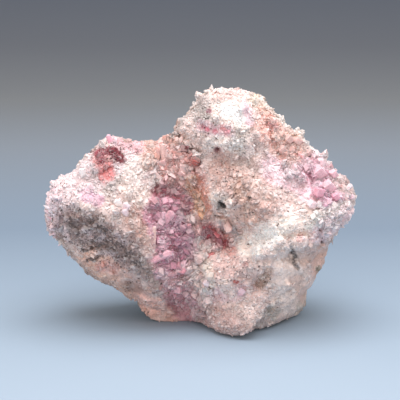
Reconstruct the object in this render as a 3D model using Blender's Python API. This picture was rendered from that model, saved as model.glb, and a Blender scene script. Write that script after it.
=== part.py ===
"""Cobaltoan calcite on its matrix: a broken lump of pale host rock with crusts of pink calcite crystals.

Metres, +Z up. The crystal-covered side faces -Y, and the stone stands on its own broken feet on Z = 0.
The tables below are in millimetres; MM turns them into metres.
"""

import math
import random
from typing import NamedTuple

import bmesh
import bpy
from mathutils import Vector, noise

MM = 0.001

# The stone's middle, from which its outline and its broken faces are measured, in mm
HUB = Vector((2.0, 0.0, 33.0))

# Thickness before and behind the middle plane, in mm
FRONT_DEPTH = 15.0
BACK_DEPTH = 21.0

# How square the stone's cross-section is: 1 is an ellipse, and less is squarer
RIM_POWER = 0.72
FACE_POWER = 0.8

# The outline seen from the front, anticlockwise from the right lobe's tip: x and z in mm
OUTLINE = [
    # right lobe, up its shoulder
    (46.5, 42.5), (43.5, 43.6), (40.6, 47.0), (38.6, 49.8), (35.8, 52.5), (32.6, 54.6),
    (30.8, 58.4), (27.4, 59.4), (24.8, 61.8), (22.0, 65.0),
    # peak and its steep left flank
    (19.4, 68.6), (16.0, 70.8), (13.0, 71.8), (9.8, 71.2), (6.8, 72.0), (3.6, 71.9), (1.4, 70.4),
    (-1.0, 66.4), (-3.6, 62.8), (-6.4, 59.4), (-8.6, 56.6),
    # saddle and left lobe
    (-11.5, 55.8), (-15.0, 55.3), (-20.3, 55.4), (-24.0, 56.2), (-26.6, 57.2), (-30.6, 53.8),
    (-33.9, 50.4), (-37.2, 47.6), (-43.0, 44.6), (-45.8, 41.0), (-46.8, 36.0), (-46.0, 31.4),
    (-44.6, 26.5), (-41.4, 21.4),
    # undercut below the left lobe
    (-36.6, 17.0), (-31.0, 12.6), (-23.5, 8.6), (-19.8, 5.4), (-18.2, 1.0),
    # feet, which run below the floor line and are cut flat on it
    (-16.0, -3.0), (-10.0, -5.5), (-3.0, -6.0), (6.0, -8.0), (14.0, -8.0), (22.0, -6.0), (29.6, -3.0),
    # right flank, from the floor up to the lobe
    (32.2, 2.0), (33.2, 6.0), (34.6, 10.8), (36.4, 14.6), (38.4, 18.4), (38.6, 22.0), (40.2, 24.6),
    (44.0, 28.0), (46.2, 31.6), (47.0, 36.0),
]

# Ridges and valleys as a line of x, z points, the height in mm (a valley's is negative) and the half width in mm
FRONT_RELIEF = [
    ([(-43.0, 40.0), (-27.0, 39.0), (-16.0, 30.0), (-12.5, 16.0)], 6.5, 8.0),  # left lobe's ridge
    ([(-9.0, 54.0), (-6.0, 35.0), (-3.5, 18.0), (0.0, 5.0)], -6.5, 7.5),  # crystal-lined trough
    ([(7.0, 30.0)], -6.0, 5.5),  # pocket of the coarse crystals
    ([(9.0, 66.0), (12.0, 61.0)], 6.0, 10.0),  # peak's knob
    ([(-2.0, 54.5), (8.0, 52.0), (20.0, 52.5)], -3.0, 3.5),  # step under the knob
    ([(27.0, 58.0)], -3.5, 7.0),  # hollow of the shoulder
    ([(13.0, 42.0), (24.0, 35.0), (40.0, 35.0)], 8.5, 8.0),  # ridge across to the right lobe
    ([(38.0, 45.0)], 3.5, 8.0),  # right lobe's swelling
    ([(6.0, 20.0), (18.0, 22.0), (26.0, 19.0)], 7.0, 7.0),  # ledge of the lower block
    ([(7.0, 2.0), (16.0, 4.0)], 11.0, 8.5),  # front foot
    ([(-17.0, 4.0), (-6.0, 0.0)], -8.0, 7.0),  # left foot, which stands back
]
BACK_RELIEF = [
    ([(-35.0, 36.0), (-15.0, 40.0)], -6.0, 12.0),  # left lobe is thinner than the middle
    ([(-6.0, 66.0), (2.0, 58.0)], 4.0, 8.0),  # grey rib behind the peak
    ([(18.0, 40.0), (8.0, 15.0)], 3.0, 14.0),  # back's swelling
    ([(34.0, 50.0)], -4.0, 10.0),  # hollow behind the right lobe
]

# Broken faces: the outward direction and the distance from HUB in mm
BROKEN_FACES = [
    ((0.72, -0.50, -0.48), 36.0),  # lower right flank
    ((0.60, -0.45, 0.66), 40.5),  # right side of the peak
    ((0.10, 0.98, 0.16), 20.5),  # back, split off the vein wall
    ((-0.55, 0.75, 0.36), 29.0),  # back of the left lobe
    ((0.62, 0.70, 0.34), 32.0),  # back of the right lobe
    ((-0.30, 0.80, -0.52), 27.0),  # back, towards the floor
    ((-0.62, -0.50, -0.60), 37.0),  # grey underside of the left lobe
]

# Lumps over the whole stone: size of a lump and its height, in mm
LUMPS = [(13.0, 1.8), (6.0, 1.3), (3.2, 0.7)]

# Hollows that lift the underside between the feet: x, y, half width and lift in mm
ARCHES = [
    (-3.0, -15.0, 5.5, 11.0),
    (20.0, -17.0, 4.5, 10.0),
    (4.0, -2.0, 6.5, 11.0),
    (-14.0, 12.0, 6.0, 9.0),
    (20.0, 8.0, 6.0, 9.0),
]
ARCH_FOOT, ARCH_TOP = -8.0, 15.0  # an arch is full at the one height and has faded out at the other, in mm

# Facets that the bare rock keeps
ROCK_FACES = 2100


class Growth(NamedTuple):
    """Crystals of one kind, and the patches that they cover. Lengths are in mm and angles in degrees."""

    patches: list  # each a line of x, z points and its half width
    skin: float  # thickness of the crust that the crystals stand on
    count: int
    height: tuple
    radius: tuple
    spacing: float
    lean: float
    blades: float  # share of the crystals that are flattened to blades
    colour: tuple
    seed: int


CRUSTS = {
    "rose_crystal_crust": Growth(
        patches=[
            ([(-8.1, 52.0), (-5.7, 36.0)], 8.5),
            ([(-5.7, 36.0), (-6.3, 21.0)], 9.0),
            ([(-4.1, 20.0), (1.4, 8.0)], 5.5),
            ([(0.0, 33.0), (7.2, 30.0)], 7.0),
        ],
        skin=1.6, count=62, height=(3.0, 5.4), radius=(1.0, 1.9), spacing=2.9, lean=40.0, blades=0.3,
        colour=(0.58, 0.24, 0.30), seed=12,
    ),
    "lilac_crystal_crust": Growth(
        patches=[([(37.0, 39.0), (40.0, 47.0)], 7.5)],
        skin=1.2, count=24, height=(2.4, 3.8), radius=(0.9, 1.6), spacing=2.7, lean=36.0, blades=0.3,
        colour=(0.62, 0.38, 0.55), seed=13,
    ),
    "peach_crystal_crust": Growth(
        patches=[([(25.0, 62.0), (29.0, 50.0)], 6.0)],
        skin=1.2, count=20, height=(2.2, 3.6), radius=(0.9, 1.5), spacing=2.7, lean=36.0, blades=0.25,
        colour=(0.66, 0.38, 0.30), seed=14,
    ),
    "red_crystal_cluster": Growth(
        patches=[([(-28.5, 49.5), (-26.0, 53.0)], 4.2)],
        skin=1.1, count=12, height=(2.0, 3.4), radius=(0.7, 1.2), spacing=2.0, lean=36.0, blades=0.3,
        colour=(0.50, 0.07, 0.08), seed=15,
    ),
}

# The white calcite crystals that are grown on to the rock itself
WHITE_CALCITE = Growth(
    patches=[
        ([(-42.0, 38.0), (-30.0, 43.0), (-17.0, 42.0)], 9.0),  # left lobe
        ([(-15.0, 52.0), (-18.0, 36.0), (-16.0, 24.0)], 5.5),  # trough's left bank
        ([(4.0, 68.0), (11.0, 64.0), (12.0, 56.0)], 8.0),  # peak's knob
        ([(8.0, 46.0), (16.0, 40.0), (24.0, 34.0), (40.0, 30.0)], 6.0),  # ridge to the right lobe
        ([(6.0, 18.0), (16.0, 10.0), (22.0, 20.0)], 8.0),  # lower block
    ],
    skin=0.0, count=44, height=(2.2, 3.8), radius=(0.9, 1.7), spacing=3.8, lean=32.0, blades=0.2,
    colour=(0.72, 0.62, 0.60), seed=6,
)

EDGE_FADE = 2.2  # a crust thins out over this much of its edge, in mm
FRONT_FADE = (-3.0, 3.0)  # crusts cover the front and have ended at the second y, in mm
SKIN_SINK = 0.6  # outside its patches a crust's sheet lies this far under the rock, in mm
SEAT_GAP = 0.42  # rock that is cut out of a crust, beyond its own surface, in mm
WELL_COVERED = 0.55  # crystals stand only where the crust is at least this share of its thickness
ROOT_DEPTH = 0.6  # share of the crust's thickness at which a crystal's root lies
WHITE_ROOT = -0.5  # a white crystal's root lies this far under the rock's surface, in mm
KEEP_OFF = 3.6  # white crystals stay this far from the crusts, in mm
TRIES = 40  # places tried for each crystal
TIP_DROP = (0.55, 0.95)  # how far a tip's edge drops below its point, as a share of the radius
BLADE_SCALE = (1.5, 0.6)  # a blade's width and thickness against a plain crystal's


def smoothstep(low, high, value):
    """0 below low, 1 above high, and an even S between."""
    share = min(1.0, max(0.0, (value - low) / (high - low)))
    return share * share * (3.0 - 2.0 * share)


def line_distance(x, z, points):
    """How far x, z lies from a line of points, or from a single point."""
    if len(points) == 1:
        return math.dist((x, z), points[0])
    nearest = math.inf
    for (x0, z0), (x1, z1) in zip(points, points[1:]):
        run_x, run_z = x1 - x0, z1 - z0
        along = ((x - x0) * run_x + (z - z0) * run_z) / (run_x**2 + run_z**2)
        along = min(1.0, max(0.0, along))
        nearest = min(nearest, math.dist((x, z), (x0 + along * run_x, z0 + along * run_z)))
    return nearest


def relief(x, z, features):
    return sum(
        height * math.exp(-((line_distance(x, z, points) / spread) ** 2))
        for points, height, spread in features
    )


def polar_outline():
    """The outline as (angle, radius) about the hub, in the order of its angles."""
    polar = []
    for x, z in OUTLINE:
        across, up = x - HUB.x, z - HUB.z
        polar.append((math.atan2(up, across), math.hypot(across, up)))
    polar.sort()
    first, last = polar[0], polar[-1]
    return [(last[0] - math.tau, last[1]), *polar, (first[0] + math.tau, first[1])]


POLAR_OUTLINE = polar_outline()


def outline_radius(angle):
    for (a0, r0), (a1, r1) in zip(POLAR_OUTLINE, POLAR_OUTLINE[1:]):
        if a0 <= angle <= a1:
            return r0 + (r1 - r0) * (angle - a0) / (a1 - a0)
    raise ValueError(f"no outline at {angle}")


def surface_point(direction):
    """Where the stone's surface lies in this direction from the hub, in mm."""
    angle = math.atan2(direction.z, direction.x)
    reach = outline_radius(angle) * math.hypot(direction.x, direction.z) ** RIM_POWER
    x = HUB.x + reach * math.cos(angle)
    z = HUB.z + reach * math.sin(angle)
    if direction.y < 0.0:
        depth = FRONT_DEPTH + relief(x, z, FRONT_RELIEF)
    else:
        depth = BACK_DEPTH + relief(x, z, BACK_RELIEF)
    y = math.copysign(depth * abs(direction.y) ** FACE_POWER, direction.y)
    point = Vector((x, y, z))
    ray = point - HUB
    length = ray.length
    ray.normalize()
    for outward, distance in BROKEN_FACES:
        facing = ray.dot(Vector(outward).normalized())
        if facing > 0.05:
            length = min(length, distance / facing)
    for size, height in LUMPS:
        length += height * noise.noise((HUB + ray * length) / size)
    return HUB + ray * length


def arch_lift(point):
    """How far the underside is hollowed upwards here, in mm."""
    lift = sum(
        height * math.exp(-(math.dist((point.x, point.y), (x, y)) / spread) ** 2)
        for x, y, spread, height in ARCHES
    )
    return lift * (1.0 - smoothstep(ARCH_FOOT, ARCH_TOP, point.z))


def new_object(name, bm, collection):
    mesh = bpy.data.meshes.new(name)
    bm.to_mesh(mesh)
    bm.free()
    made = bpy.data.objects.new(name, mesh)
    collection.objects.link(made)
    return made


def evaluated_copy(source, name, collection):
    """A new object with the source's modifiers applied."""
    graph = bpy.context.evaluated_depsgraph_get()
    mesh = bpy.data.meshes.new_from_object(source.evaluated_get(graph))
    made = bpy.data.objects.new(name, mesh)
    made.matrix_world = source.matrix_world.copy()
    collection.objects.link(made)
    return made


def remove(*objects):
    for obj in objects:
        bpy.data.objects.remove(obj)


def add_boolean(obj, other, operation):
    cut = obj.modifiers.new(operation.lower(), "BOOLEAN")
    cut.operation = operation
    cut.object = other
    cut.solver = "EXACT"
    cut.use_self = operation == "UNION"


def keep_largest(obj):
    """Drops the crumbs that a Boolean leaves beside the main body."""
    bm = bmesh.new()
    bm.from_mesh(obj.data)
    left = set(bm.faces)
    islands = []
    while left:
        island = {left.pop()}
        edge_of_island = list(island)
        while edge_of_island:
            face = edge_of_island.pop()
            near = {other for edge in face.edges for other in edge.link_faces} & left
            left -= near
            island |= near
            edge_of_island.extend(near)
        islands.append(island)
    islands.sort(key=len)
    crumbs = [face for island in islands[:-1] for face in island]
    bmesh.ops.delete(bm, geom=crumbs, context="FACES")
    bm.to_mesh(obj.data)
    bm.free()


def cut_at_floor(obj):
    """Cuts the feet flat on the floor plane."""
    bm = bmesh.new()
    bm.from_mesh(obj.data)
    cut = bmesh.ops.bisect_plane(
        bm,
        geom=[*bm.verts, *bm.edges, *bm.faces],
        plane_co=(0.0, 0.0, 0.0),
        plane_no=(0.0, 0.0, 1.0),
        clear_inner=True,
    )
    rim = [item for item in cut["geom_cut"] if isinstance(item, bmesh.types.BMEdge)]
    bmesh.ops.holes_fill(bm, edges=rim)
    bmesh.ops.triangulate(bm, faces=bm.faces)
    bm.to_mesh(obj.data)
    bm.free()


def make_bare_rock(collection):
    """The host rock: a ball drawn out to the outline, hollowed, ridged and broken, and cut flat under its feet."""
    bm = bmesh.new()
    bmesh.ops.create_icosphere(bm, subdivisions=6, radius=1.0)
    for vert in bm.verts:
        point = surface_point(vert.co.normalized())
        point.z += arch_lift(point)
        vert.co = point * MM
    rough = new_object("rough_rock", bm, collection)
    fewer = rough.modifiers.new("fewer", "DECIMATE")
    fewer.ratio = ROCK_FACES / len(rough.data.polygons)
    rock = evaluated_copy(rough, "bare_rock", collection)
    remove(rough)
    cut_at_floor(rock)
    return rock


def patch_depth(point, patches):
    """How far inside the patches a point lies, in mm, or how far outside them as a negative number."""
    return max(width - line_distance(point.x / MM, point.z / MM, line) for line, width in patches)


def cover(point, growth):
    """The share of its thickness that a growth's crust has at a point of the rock."""
    front = 1.0 - smoothstep(*FRONT_FADE, point.y / MM)
    return front * smoothstep(0.0, EDGE_FADE, patch_depth(point, growth.patches))


def pushed_copy(rock, name, push, collection):
    """A copy of the rock with each point moved out along its normal by push(point), in mm."""
    bm = bmesh.new()
    bm.from_mesh(rock.data)
    bm.normal_update()
    for vert in bm.verts:
        vert.co += vert.normal * push(vert.co) * MM
    return new_object(name, bm, collection)


def spots(rock, growth, chooser, allowed):
    """Points over the growth's patches, no two closer than its spacing, each with the rock's normal there."""
    bm = bmesh.new()
    bm.from_mesh(rock.data)
    faces = [face for face in bm.faces if allowed(face.calc_center_median())]
    areas = [face.calc_area() for face in faces]
    found = []
    for face in chooser.choices(faces, areas, k=growth.count * TRIES):
        share, other_share = sorted((chooser.random(), chooser.random()))
        a, b, c = (vert.co for vert in face.verts)
        point = a * share + b * (other_share - share) + c * (1.0 - other_share)
        if allowed(point) and all((point - old).length > growth.spacing * MM for old, _ in found):
            found.append((point, face.normal.copy()))
        if len(found) == growth.count:
            break
    bm.free()
    return found


def leaning(normal, degrees, chooser):
    """The normal, tipped in a chance direction by up to this angle."""
    tip = normal.orthogonal().normalized()
    side = normal.cross(tip)
    turn = chooser.uniform(0.0, math.tau)
    lean = math.radians(degrees) * math.sqrt(chooser.random())
    across = tip * math.cos(turn) + side * math.sin(turn)
    return (normal * math.cos(lean) + across * math.sin(lean)).normalized()


def add_crystal(bm, root, axis, growth, chooser):
    """A six-sided calcite prism under a three-faced point, standing on its root along its axis."""
    height = chooser.uniform(*growth.height) * MM
    radius = chooser.uniform(*growth.radius) * MM
    drop = chooser.uniform(*TIP_DROP) * radius
    wide, thin = BLADE_SCALE if chooser.random() < growth.blades else (1.0, 1.0)
    verts = bmesh.ops.create_cone(
        bm, cap_ends=True, segments=6, radius1=radius * 0.8, radius2=radius, depth=height
    )["verts"]
    rim = {vert for vert in verts if vert.co.z > 0.0}
    top = next(face for vert in rim for face in vert.link_faces if rim.issuperset(face.verts))
    corners = list(top.verts)
    verts += bmesh.ops.poke(bm, faces=[top])["verts"]
    for number, corner in enumerate(corners):
        corner.co.z -= drop * (1 + number % 2)
    upright = axis.to_track_quat("Z", "Y").to_matrix()
    spin = chooser.uniform(0.0, math.tau)
    for vert in verts:
        across = Vector((vert.co.x * wide, vert.co.y * thin, vert.co.z + height / 2))
        turned = Vector((
            across.x * math.cos(spin) - across.y * math.sin(spin),
            across.x * math.sin(spin) + across.y * math.cos(spin),
            across.z,
        ))
        vert.co = root + upright @ turned


def make_crystals(name, rock, growth, root_lift, allowed, collection):
    """All crystals of a growth in one mesh, each with its root this far above the rock, in mm."""
    chooser = random.Random(growth.seed)
    bm = bmesh.new()
    for point, normal in spots(rock, growth, chooser, allowed):
        root = point + normal * root_lift * MM
        add_crystal(bm, root, leaning(normal, growth.lean, chooser), growth, chooser)
    return new_object(name, bm, collection)


def make_crust(name, rock, seat, growth, collection, helpers):
    """A crust that lies on the rock with a small gap, with its crystals grown together in one solid."""

    def push(point):
        share = cover(point, growth)
        return growth.skin * share - SKIN_SINK * (1.0 - share)

    def well_covered(point):
        return cover(point, growth) > WELL_COVERED

    sheet = pushed_copy(rock, name + "_sheet", push, helpers)
    lift = growth.skin * ROOT_DEPTH
    crystals = make_crystals(name + "_crystals", rock, growth, lift, well_covered, helpers)
    add_boolean(sheet, crystals, "UNION")
    add_boolean(sheet, seat, "DIFFERENCE")
    crust = evaluated_copy(sheet, name, collection)
    remove(sheet, crystals)
    keep_largest(crust)
    return crust


def make_matrix_rock(rock, collection, helpers):
    """The host rock with the white calcite crystals that are grown on to it."""

    def bare_front(point):
        clear = all(patch_depth(point, crust.patches) < -KEEP_OFF for crust in CRUSTS.values())
        return clear and cover(point, WHITE_CALCITE) > WELL_COVERED

    crystals = make_crystals("white_calcite", rock, WHITE_CALCITE, WHITE_ROOT, bare_front, helpers)
    add_boolean(rock, crystals, "UNION")
    matrix = evaluated_copy(rock, "matrix_rock", collection)
    remove(crystals)
    keep_largest(matrix)
    return matrix


def make_material(name, colour, roughness):
    material = bpy.data.materials.new(name)
    material.use_nodes = True
    shader = material.node_tree.nodes["Principled BSDF"]
    shader.inputs["Base Color"].default_value = (*colour, 1.0)
    shader.inputs["Roughness"].default_value = roughness
    shader.inputs["Metallic"].default_value = 0.0
    return material


def stand_on_centre(objects):
    """Moves the stone so that the middle of its box's bottom is at the origin."""
    corners = [obj.matrix_world @ vert.co for obj in objects for vert in obj.data.vertices]
    middle_x = (min(corner.x for corner in corners) + max(corner.x for corner in corners)) / 2
    middle_y = (min(corner.y for corner in corners) + max(corner.y for corner in corners)) / 2
    for obj in objects:
        obj.location = (-middle_x, -middle_y, -min(corner.z for corner in corners))


def main():
    for obj in list(bpy.data.objects):
        bpy.data.objects.remove(obj)
    parts = bpy.data.collections.new("cobaltoan_calcite")
    helpers = bpy.data.collections.new("helpers")
    for collection in (parts, helpers):
        bpy.context.scene.collection.children.link(collection)
    rock = make_bare_rock(helpers)
    seat = pushed_copy(rock, "seat", lambda point: SEAT_GAP, helpers)
    pieces = []
    for name, growth in CRUSTS.items():
        crust = make_crust(name, rock, seat, growth, parts, helpers)
        crust.data.materials.append(make_material(name, growth.colour, 0.3))
        pieces.append(crust)
    matrix = make_matrix_rock(rock, parts, helpers)
    matrix.data.materials.append(make_material("matrix_rock", WHITE_CALCITE.colour, 0.8))
    pieces.append(matrix)
    remove(rock, seat)
    stand_on_centre(pieces)


main()
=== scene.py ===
"""The looks of a cobaltoan calcite specimen: host rock under a white druse, with crusts of pink calcite.

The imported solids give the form. The rock gets its broken grain here, and thousands of calcite crystals grow
on it and on the crusts. Lengths are in millimetres until MM turns them into metres.
"""

import math
from typing import NamedTuple

import bpy
import numpy as np
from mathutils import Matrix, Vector, noise
from mathutils.bvhtree import BVHTree


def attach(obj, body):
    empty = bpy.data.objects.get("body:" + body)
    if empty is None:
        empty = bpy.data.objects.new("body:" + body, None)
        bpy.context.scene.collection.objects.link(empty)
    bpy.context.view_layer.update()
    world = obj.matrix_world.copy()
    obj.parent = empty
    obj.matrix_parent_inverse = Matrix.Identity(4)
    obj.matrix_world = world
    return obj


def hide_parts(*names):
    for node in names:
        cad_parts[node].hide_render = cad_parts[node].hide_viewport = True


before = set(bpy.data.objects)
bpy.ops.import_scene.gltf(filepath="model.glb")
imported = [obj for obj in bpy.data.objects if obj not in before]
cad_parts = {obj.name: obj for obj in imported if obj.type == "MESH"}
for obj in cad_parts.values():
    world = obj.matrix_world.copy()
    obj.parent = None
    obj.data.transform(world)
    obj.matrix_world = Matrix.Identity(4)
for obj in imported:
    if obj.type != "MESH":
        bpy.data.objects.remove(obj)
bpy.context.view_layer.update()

MM = 0.001
RANDOM_SEED = 5

# The camera stands straight in front of the stone, looking slightly down
CAMERA_TARGET = Vector((0.0001, 0.0011, 0.0376))
CAMERA_ELEVATION = math.radians(12.0)
CAMERA_DISTANCE = 0.339
CAMERA_LENS = 100.0
CAMERA_SENSOR = 36.0
PHOTO_PIXELS = 400
CAMERA_AWAY = Vector((0.0, -math.cos(CAMERA_ELEVATION), math.sin(CAMERA_ELEVATION)))
CAMERA_UP = Vector((0.0, math.sin(CAMERA_ELEVATION), math.cos(CAMERA_ELEVATION)))
CAMERA_PLACE = CAMERA_TARGET + CAMERA_AWAY * CAMERA_DISTANCE
PIXELS_AT_A_METRE = PHOTO_PIXELS * CAMERA_LENS / CAMERA_SENSOR  # how many a metre takes up, a metre away


def linear(hex_colour):
    """An sRGB hex colour as linear red, green and blue."""
    shares = [int(hex_colour[i : i + 2], 16) / 255 for i in (1, 3, 5)]
    return tuple(s / 12.92 if s <= 0.04045 else ((s + 0.055) / 1.055) ** 2.4 for s in shares)


def smoothstep(low, high, value):
    share = np.clip((value - low) / (high - low), 0.0, 1.0)
    return share * share * (3.0 - 2.0 * share)


def noise_at(points, size, shift=0.0):
    """Noise between about -1 and 1 at points in metres, with lumps of this size in mm.

    Each shift gives a pattern of its own.
    """
    scaled = points / (size * MM) + shift
    return np.array([noise.noise(point) for point in scaled.tolist()])


def front_view(points):
    """Where points lie in the front view: x and y in pixels of the 400 x 400 picture, y running down."""
    from_camera = points - np.array(CAMERA_PLACE)
    depth = -from_camera @ np.array(CAMERA_AWAY)
    pixels_per_metre = PIXELS_AT_A_METRE / depth
    across = from_camera[:, 0] * pixels_per_metre
    up = from_camera @ np.array(CAMERA_UP) * pixels_per_metre
    return np.stack([PHOTO_PIXELS / 2 + across, PHOTO_PIXELS / 2 - up], axis=1)


class Patch(NamedTuple):
    """A stain of colour or of painted shade, or a kind of surface, along a line of front-view pixels."""

    value: object
    line: list
    reach: float  # half the patch's width in pixels
    strength: float = 1.0


def patches(*rows):
    """Patches from rows of their fields."""
    return [Patch(*row) for row in rows]


# The colours that the stone is made of, and that paint some shade and light on it, from its whites to its
# blacks
SNOW = "#FCFAF8"
MILK = "#FFEEE6"
FROST = "#F4E2E6"
IVORY = "#F0E4DA"
CREAM = "#E6D7D0"
SAND = "#DACCBC"
PEARL = "#E0CED0"
PETAL = "#EACCD4"
BLUSH = "#E2C4BE"
BLOOM = "#E2B6C0"
SHELL = "#E8B8C6"
ORCHID = "#CE9EB8"
ROSE = "#CA92A4"
MAUVE = "#B67A90"
OLD_ROSE = "#D09AA2"
WINE = "#9C5864"
CHERRY = "#D66C80"
BERRY = "#9C4654"
GARNET = "#741F2E"
PLUM = "#804456"
PEACH = "#EFBFB3"
APRICOT = "#E0AA8A"
OCHRE = "#D09A66"
SALMON = "#DAA6A0"
CORAL = "#DE8888"
RUST = "#C07C74"
BRICK = "#BE5248"
BUFF = "#DCB6A6"
BEIGE = "#C8A59C"
CLAY = "#BC998E"
TAN = "#AE8C76"
CLOUD = "#C8BCB8"
STONE = "#BAB5AC"
ASH = "#A09C98"
TAUPE = "#A88F8D"
UMBER = "#8A7771"
BROWN = "#86675C"
OLIVE = "#7C806A"
BARK = "#4C3E3C"
SOOT = "#2E282A"
OXIDE = "#4C4443"
DRUSE_PINK = "#DDC9C4"  # where no stain lies

# Lines of front-view pixels that several lists use
UPPER_FRACTURE = [(82, 250), (87, 251), (91, 248), (96, 249), (101, 246), (106, 247)]
LOWER_FRACTURE = [(86, 261), (91, 259), (94, 260), (99, 257), (103, 257)]
BLACK_CRACK = [(292, 251), (296, 257), (294, 262), (298, 268)]
BROWN_POCKET = [(260, 284), (264, 277), (269, 272)]
KNOB_SHADE = [(240, 130), (240, 146)]
PEAK_FLANK = [(172, 134), (184, 110)]

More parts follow.
